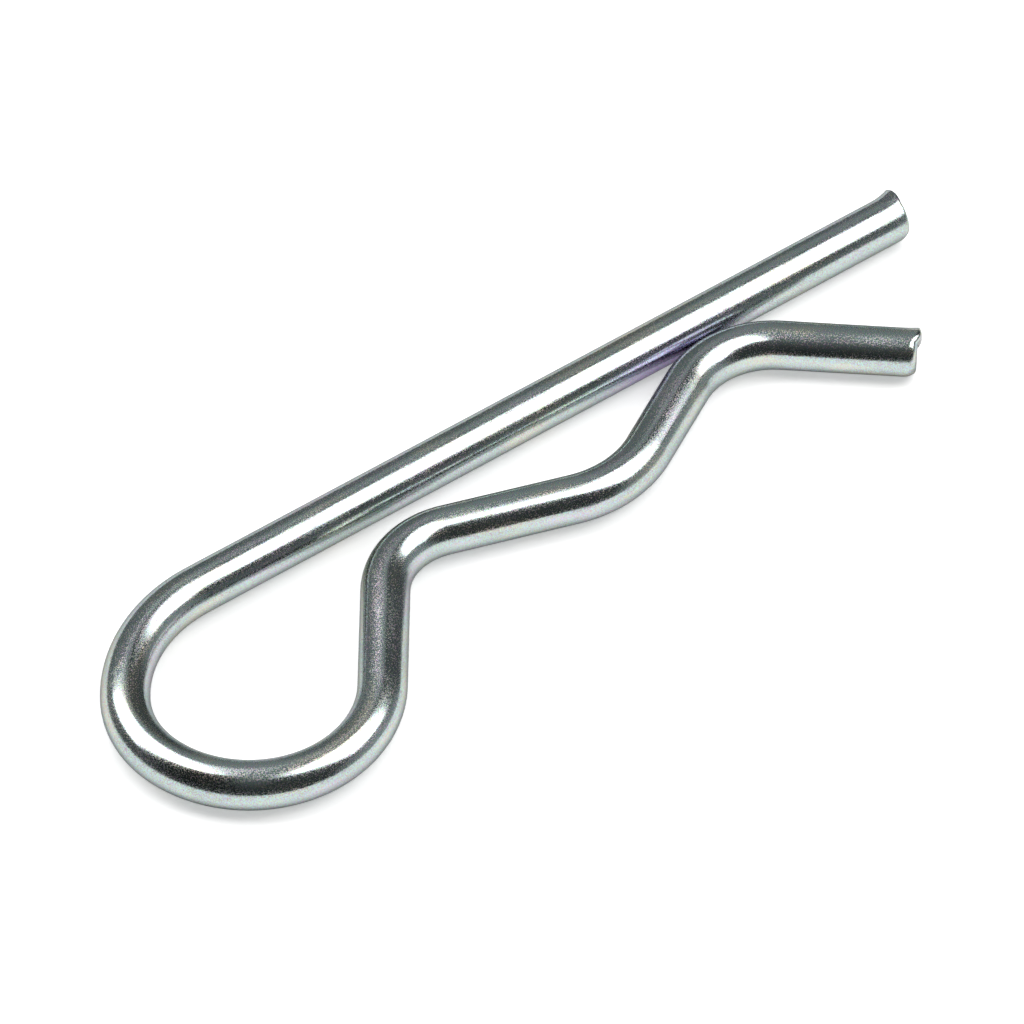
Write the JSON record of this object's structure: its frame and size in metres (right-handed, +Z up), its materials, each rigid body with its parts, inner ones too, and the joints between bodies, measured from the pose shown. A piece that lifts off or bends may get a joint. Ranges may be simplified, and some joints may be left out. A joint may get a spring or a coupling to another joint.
{
  "type": "hitch pin clip",
  "caption": "Spring clip of round wire bent flat: a straight leg, a round finger loop, and a wavy leg with a pin seat, a pinch and a flared tip.",
  "frame": {"origin": "on the plane that the clip lies on, where the axis of the pin that it locks crosses the middle of the straight leg, level with the bottom of the seat", "axes": "+X along the straight leg towards its free end, +Y from the bent leg to the straight leg, +Z up out of the plane that the wire is bent in"},
  "size_m": [0.0843, 0.0251, 0.0041],
  "materials": {
    "zinc_plate": "bright clear-passivated zinc plate on drawn spring steel wire, faintly speckled and streaked along the wire"
  },
  "bodies": {
    "root": {"clip_wire": "zinc_plate"}
  },
  "joints": []
}
